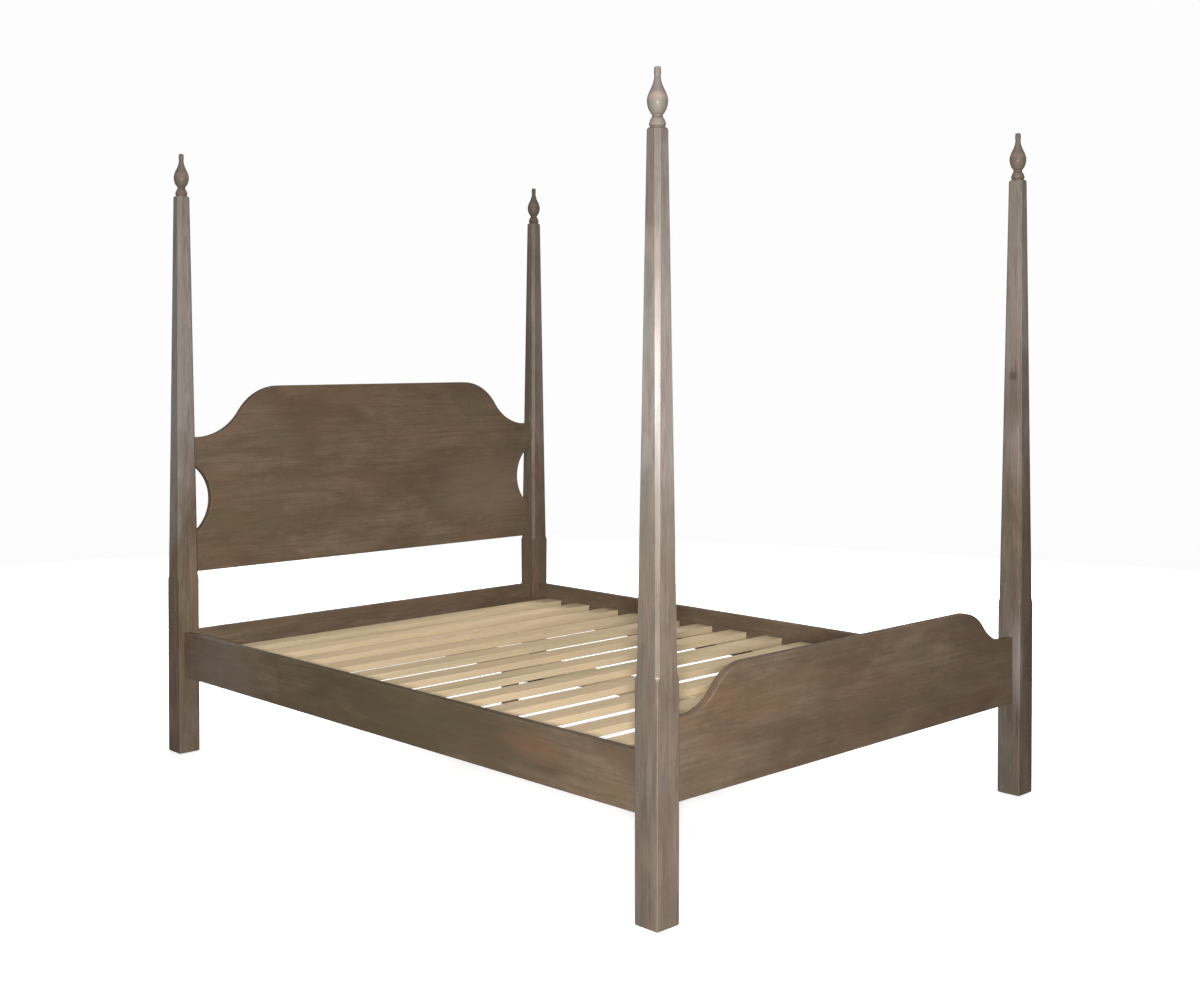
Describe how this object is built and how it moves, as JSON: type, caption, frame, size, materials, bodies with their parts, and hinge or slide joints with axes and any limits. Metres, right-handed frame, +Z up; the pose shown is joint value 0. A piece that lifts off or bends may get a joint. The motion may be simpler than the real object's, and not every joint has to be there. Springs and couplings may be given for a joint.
{
  "type": "pencil-post bed frame",
  "caption": "Wooden bed frame with tall tapered octagonal posts, turned finials, shaped headboard and footboard, plain side rails and a slat base.",
  "frame": {"origin": "on the floor under the middle of the bed", "axes": "+Z up, +Y towards the head end, +X to the right seen from the foot end"},
  "size_m": [1.4686, 2.0274, 1.7835],
  "materials": {
    "stained_maple": "grey-brown stain under satin clear lacquer",
    "raw_poplar": "planed, unfinished",
    "zinc_steel": "zinc plated, satin",
    "screw_steel": "zinc plated",
    "brass": "plain",
    "foot_plastic": "moulded",
    "glide_plastic": "moulded"
  },
  "bodies": {
    "frame": {"beam_saddle_foot": "zinc_steel", "beam_saddle_head": "zinc_steel", "centre_beam": "raw_poplar", "centre_leg_foot": "raw_poplar", "centre_leg_head": "raw_poplar", "cleat_screws": "screw_steel", "footboard_panel": "stained_maple", "head_rail": "stained_maple", "headboard_panel": "stained_maple", "hook_plate_foot_left": "zinc_steel", "hook_plate_foot_right": "zinc_steel", "hook_plate_head_left": "zinc_steel", "hook_plate_head_right": "zinc_steel", "hook_plate_screws": "screw_steel", "leg_hanger_bolts": "screw_steel", "leg_insert_foot": "brass", "leg_insert_head": "brass", "leg_plate_foot": "zinc_steel", "leg_plate_head": "zinc_steel", "leg_plate_screws": "screw_steel", "post_foot_left": "stained_maple", "post_foot_right": "stained_maple", "post_glides": "glide_plastic", "post_head_left": "stained_maple", "post_head_right": "stained_maple", "saddle_screws": "screw_steel", "side_rail_left": "stained_maple", "side_rail_right": "stained_maple", "slat_01": "raw_poplar", "slat_02": "raw_poplar", "slat_03": "raw_poplar", "slat_04": "raw_poplar", "slat_05": "raw_poplar", "slat_06": "raw_poplar", "slat_07": "raw_poplar", "slat_08": "raw_poplar", "slat_09": "raw_poplar", "slat_10": "raw_poplar", "slat_11": "raw_poplar", "slat_12": "raw_poplar", "slat_13": "raw_poplar", "slat_cleat_left": "raw_poplar", "slat_cleat_right": "raw_poplar", "slat_screws": "screw_steel", "slot_plate_foot_left": "zinc_steel", "slot_plate_foot_right": "zinc_steel", "slot_plate_head_left": "zinc_steel", "slot_plate_head_right": "zinc_steel", "slot_plate_screws": "screw_steel"},
    "finial_foot_left_unit": {"finial_foot_left": "stained_maple", "finial_pin_foot_left": "screw_steel"},
    "finial_foot_right_unit": {"finial_foot_right": "stained_maple", "finial_pin_foot_right": "screw_steel"},
    "levelling_foot_foot_unit": {"levelling_foot_foot": "foot_plastic"},
    "finial_head_left_unit": {"finial_head_left": "stained_maple", "finial_pin_head_left": "screw_steel"},
    "finial_head_right_unit": {"finial_head_right": "stained_maple", "finial_pin_head_right": "screw_steel"},
    "levelling_foot_head_unit": {"levelling_foot_head": "foot_plastic"}
  },
  "joints": [
    {"name": "finial_foot_left_lift", "type": "slide", "parent": "frame", "child": "finial_foot_left_unit", "axis": [0, 0, 1], "range_m": [0, 0.04]},
    {"name": "finial_foot_right_lift", "type": "slide", "parent": "frame", "child": "finial_foot_right_unit", "axis": [0, 0, 1], "range_m": [0, 0.04]},
    {"name": "levelling_foot_foot_lift", "type": "slide", "parent": "frame", "child": "levelling_foot_foot_unit", "axis": [0, 0, 1], "range_m": [0, 0.009]},
    {"name": "finial_head_left_lift", "type": "slide", "parent": "frame", "child": "finial_head_left_unit", "axis": [0, 0, 1], "range_m": [0, 0.04]},
    {"name": "finial_head_right_lift", "type": "slide", "parent": "frame", "child": "finial_head_right_unit", "axis": [0, 0, 1], "range_m": [0, 0.04]},
    {"name": "levelling_foot_head_lift", "type": "slide", "parent": "frame", "child": "levelling_foot_head_unit", "axis": [0, 0, 1], "range_m": [0, 0.009]}
  ]
}
